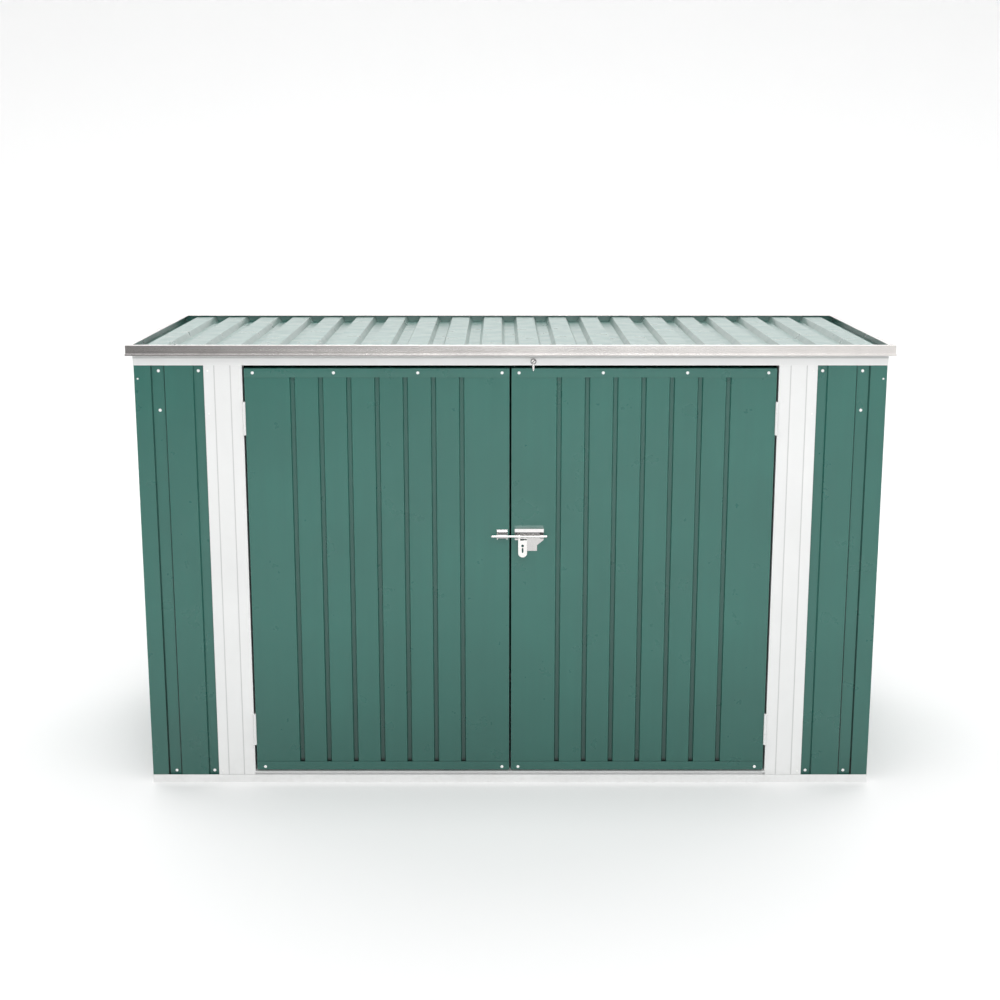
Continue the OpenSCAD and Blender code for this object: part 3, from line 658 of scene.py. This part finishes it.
def placeScrews(body, tree, headObject, look, material):
    spots = screwSpots(body)
    data = bpy.data.meshes.new("screwPoints")
    data.from_pydata([tuple(place) for place, _, _ in spots], [], [])
    facing = data.attributes.new("facing", "FLOAT_VECTOR", "POINT")
    facing.data.foreach_set("vector", [value for _, direction, _ in spots for value in direction])
    big = data.attributes.new("big", "FLOAT", "POINT")
    big.data.foreach_set("value", [float(size) for _, _, size in spots])
    source = bpy.data.objects.new("screwPoints", data)
    scene.collection.objects.link(source)
    modifier = source.modifiers.new("screwRows", "NODES")
    modifier.node_group = tree
    values = {"Head": headObject, "Turn Seed": look["turnSeed"], "Small Scale": look["smallScale"],
              "Material": material}
    for item in tree.interface.items_tree:
        if item.in_out == "INPUT" and item.name in values:
            modifier[item.identifier] = values[item.name]
    depsgraph = bpy.context.evaluated_depsgraph_get()
    final = bpy.data.meshes.new_from_object(source.evaluated_get(depsgraph), depsgraph=depsgraph)
    bpy.data.objects.remove(source)
    for polygon in final.polygons:
        polygon.use_smooth = False
    pieceName = camelName(body) + "Screws"
    final.name = pieceName
    piece = bpy.data.objects.new(pieceName, final)
    scene.collection.objects.link(piece)
    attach(piece, body)
    return len(spots), len(final.polygons)


screwLook = {"color": (0.93, 0.93, 0.92), "roughness": 0.40, "cloud": 0.05}


def makeScrewCoat(look):
    material, tree, shader = newMaterial("whiteScrewCoat")
    point = objectPoint(tree)
    cloud = noise(tree, point, 260.0, 3.0)
    tree.links.new(mixColor(tree, cloud, rgba(look["color"], 1.0 - look["cloud"]), rgba(look["color"])),
                   shader.inputs["Base Color"])
    tree.links.new(spread(tree, cloud, 0.3, 0.7, look["roughness"] - 0.05, look["roughness"] + 0.05),
                   shader.inputs["Roughness"])
    return material


screwHead = makeScrewHead(screwSet)
screwTree = makeScrewTree(screwHead)
screwMaterial = makeScrewCoat(screwLook)
for body in frontScrews:
    print("screws on", body, placeScrews(body, screwTree, screwHead, screwSet, screwMaterial))
bpy.data.objects.remove(screwHead)


# ---- studio: floor that sweeps up behind, soft light

studio = {
    "floorHalf": 14.0,
    "sweepStart": 3.2,        # metres behind the shed where the floor starts to rise
    "sweepRadius": 4.0,
    "wallTop": 9.0,
    "floorColor": (0.90, 0.90, 0.90),
    "sweepGlow": 0.17,        # light from the lit sweep itself
    "upperGlow": 2.6,         # and from its upper part, above the view
    "upperFrom": 2.7,
    "worldLevel": 0.48,
    "keyPlace": (0.35, -6.2, 2.9),
    "keySize": 2.6,
    "keyPower": 120.0,
    "topPlace": (0.0, -1.6, 5.2),
    "topSize": 5.0,
    "topPower": 150.0,
    "cardPlace": (0.0, -6.4),
    "cardHalf": 5.0,
    "cardTop": 1.6,
    "cardLevels": (0.09, 0.95),
}


def makeFloor(look):
    material, tree, shader = newMaterial("paleStudioFloor")
    point = objectPoint(tree)
    tone = mixColor(tree, noise(tree, point, 1.5, 2.0), rgba(look["floorColor"], 0.99), rgba(look["floorColor"]))
    tree.links.new(tone, shader.inputs["Base Color"])
    shader.inputs["Roughness"].default_value = 0.9
    shader.inputs["Specular IOR Level"].default_value = 0.1
    shader.inputs["Emission Color"].default_value = (1.0, 1.0, 1.0, 1.0)
    parts = addNode(tree, "ShaderNodeSeparateXYZ", {"Vector": point}).outputs
    glow = addNode(tree, "ShaderNodeMapRange", {"Value": parts["Y"], "From Min": 2.2,
                                                "From Max": look["sweepStart"] + 3.0,
                                                "To Min": 0.0, "To Max": look["sweepGlow"]},
                   interpolation_type="SMOOTHSTEP").outputs["Result"]
    upper = spread(tree, parts["Z"], look["upperFrom"], look["upperFrom"] + 0.8, 0.0, look["upperGlow"])
    tree.links.new(calc(tree, "ADD", glow, upper), shader.inputs["Emission Strength"])
    profile = [(-look["floorHalf"], 0.0)]
    steps = 24
    for step in range(steps + 1):
        angle = math.pi / 2 * step / steps
        profile.append((look["sweepStart"] + look["sweepRadius"] * math.sin(angle),
                        look["sweepRadius"] * (1 - math.cos(angle))))
    profile.append((look["sweepStart"] + look["sweepRadius"], look["wallTop"]))
    half = look["floorHalf"]
    corners, faces = [], []
    for y, z in profile:
        corners += [(-half, y, z), (half, y, z)]
    for index in range(len(profile) - 1):
        faces.append((2 * index, 2 * index + 1, 2 * index + 3, 2 * index + 2))
    mesh = bpy.data.meshes.new("studioFloor")
    mesh.from_pydata(corners, [], faces)
    for polygon in mesh.polygons:
        polygon.use_smooth = True
    mesh.materials.append(material)
    floor = bpy.data.objects.new("studioFloor", mesh)
    scene.collection.objects.link(floor)


def makeCard(look):
    # a graded card behind the camera, which only reflections see
    material, tree, shader = newMaterial("gradedCard")
    shader.inputs["Base Color"].default_value = (0.0, 0.0, 0.0, 1.0)
    shader.inputs["Specular IOR Level"].default_value = 0.0
    shader.inputs["Emission Color"].default_value = (1.0, 0.985, 0.97, 1.0)
    across = addNode(tree, "ShaderNodeSeparateXYZ", {"Vector": objectPoint(tree)}).outputs["X"]
    dark, bright = look["cardLevels"]
    level = addNode(tree, "ShaderNodeMapRange", {"Value": across, "From Min": -2.6, "From Max": 2.6,
                                                 "To Min": dark, "To Max": bright}).outputs["Result"]
    tree.links.new(level, shader.inputs["Emission Strength"])
    x, y = look["cardPlace"]
    half, top = look["cardHalf"], look["cardTop"]
    mesh = bpy.data.meshes.new("gradedCard")
    corners = [(x - half, y, 0.01), (x + half, y, 0.01), (x + half, y, top), (x - half, y, top)]
    mesh.from_pydata(corners, [], [(3, 2, 1, 0)])
    mesh.materials.append(material)
    card = bpy.data.objects.new("gradedCard", mesh)
    card.visible_camera = False
    card.visible_diffuse = False
    card.visible_shadow = False
    scene.collection.objects.link(card)


def addAreaLight(name, place, target, size, power):
    data = bpy.data.lights.new(name, "AREA")
    data.shape = "SQUARE"
    data.size = size
    data.energy = power
    light = bpy.data.objects.new(name, data)
    light.location = place
    light.rotation_euler = (Vector(target) - Vector(place)).to_track_quat("-Z", "Y").to_euler()
    scene.collection.objects.link(light)


def makeStudio(look):
    makeFloor(look)
    makeCard(look)
    addAreaLight("keyLight", look["keyPlace"], (0.3, -0.4, 0.6), look["keySize"], look["keyPower"])
    addAreaLight("topLight", look["topPlace"], (0, 0, 0.8), look["topSize"], look["topPower"])
    world = bpy.data.worlds.new("studioWorld")
    scene.world = world
    world.use_nodes = True
    background = world.node_tree.nodes["Background"]
    background.inputs["Color"].default_value = (1.0, 1.0, 1.0, 1.0)
    background.inputs["Strength"].default_value = look["worldLevel"]
    scene.view_settings.view_transform = "Standard"
    scene.view_settings.look = "None"


makeStudio(studio)

cameraSet = {
    "place": (-0.0267, -5.0072, 1.9280),
    "pitchDown": 14.044,
    "lens": 65.88,
}
cameraData = bpy.data.cameras.new("mainCamera")
cameraData.sensor_width = 36.0
cameraData.lens = cameraSet["lens"]
cameraData.clip_end = 200.0
camera = bpy.data.objects.new("mainCamera", cameraData)
camera.location = cameraSet["place"]
camera.rotation_euler = (math.radians(90 - cameraSet["pitchDown"]), 0, 0)
scene.collection.objects.link(camera)
scene.camera = camera
print("studio and camera ready")
